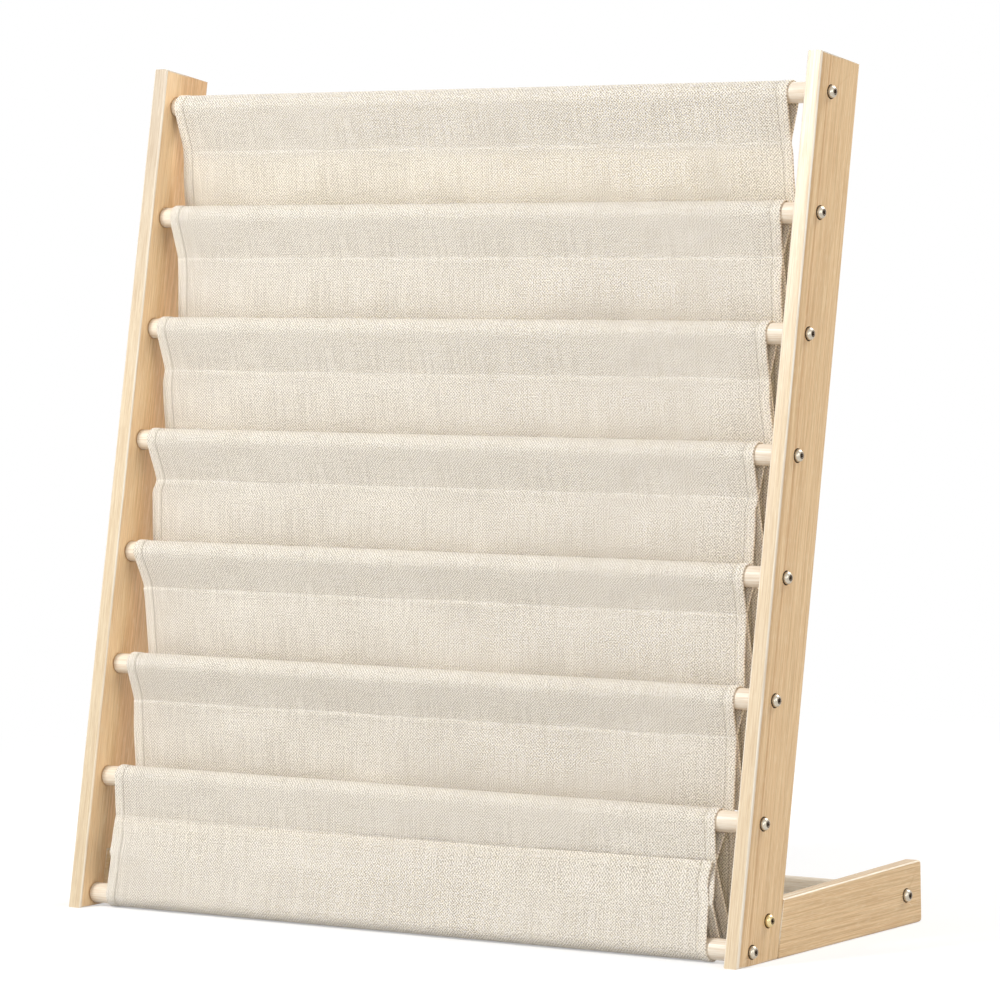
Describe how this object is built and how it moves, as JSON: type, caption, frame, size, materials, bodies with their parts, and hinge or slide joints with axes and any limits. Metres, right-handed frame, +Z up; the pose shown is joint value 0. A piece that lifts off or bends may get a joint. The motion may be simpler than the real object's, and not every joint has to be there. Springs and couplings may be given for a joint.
{
  "type": "sling bookshelf",
  "caption": "Leaning wooden book display with a canvas sling that hangs over round dowels as book pockets, steadied by floor rails.",
  "frame": {"origin": "centre of the overall footprint, on the floor", "axes": "+X to the right seen from the front, +Y to the rear, +Z up; book pockets face -Y"},
  "size_m": [0.729, 0.29, 0.75],
  "materials": {
    "board_wood": "planed pine boards with eased edges and a thin satin clear coat",
    "dowel_wood": "sanded pine rod, nearly raw",
    "screw_steel": "nickel plated domed socket heads",
    "bolt_brass": "brass plated connector bolt and sleeve nut",
    "canvas": "natural cotton and linen plain weave, matt, with sewn sleeves and side hems"
  },
  "bodies": {
    "root": {"side_board_left": "board_wood", "side_board_right": "board_wood", "foot_rail_left": "board_wood", "foot_rail_right": "board_wood", "shelf_dowel_1": "dowel_wood", "shelf_dowel_2": "dowel_wood", "shelf_dowel_3": "dowel_wood", "shelf_dowel_4": "dowel_wood", "shelf_dowel_5": "dowel_wood", "shelf_dowel_6": "dowel_wood", "shelf_dowel_7": "dowel_wood", "bottom_dowel": "dowel_wood", "rear_dowel": "dowel_wood", "shelf_dowel_1_screw_left": "screw_steel", "shelf_dowel_1_screw_right": "screw_steel", "shelf_dowel_2_screw_left": "screw_steel", "shelf_dowel_2_screw_right": "screw_steel", "shelf_dowel_3_screw_left": "screw_steel", "shelf_dowel_3_screw_right": "screw_steel", "shelf_dowel_4_screw_left": "screw_steel", "shelf_dowel_4_screw_right": "screw_steel", "shelf_dowel_5_screw_left": "screw_steel", "shelf_dowel_5_screw_right": "screw_steel", "shelf_dowel_6_screw_left": "screw_steel", "shelf_dowel_6_screw_right": "screw_steel", "shelf_dowel_7_screw_left": "screw_steel", "shelf_dowel_7_screw_right": "screw_steel", "bottom_dowel_screw_left": "screw_steel", "bottom_dowel_screw_right": "screw_steel", "rear_dowel_screw_left": "screw_steel", "rear_dowel_screw_right": "screw_steel", "foot_bolt_left": "bolt_brass", "foot_bolt_right": "bolt_brass", "foot_nut_left": "bolt_brass", "foot_nut_right": "bolt_brass", "sling_tier_1": "canvas", "sling_tier_2": "canvas", "sling_tier_3": "canvas", "sling_tier_4": "canvas", "sling_tier_5": "canvas", "sling_tier_6": "canvas", "sling_tier_7": "canvas"}
  },
  "joints": []
}
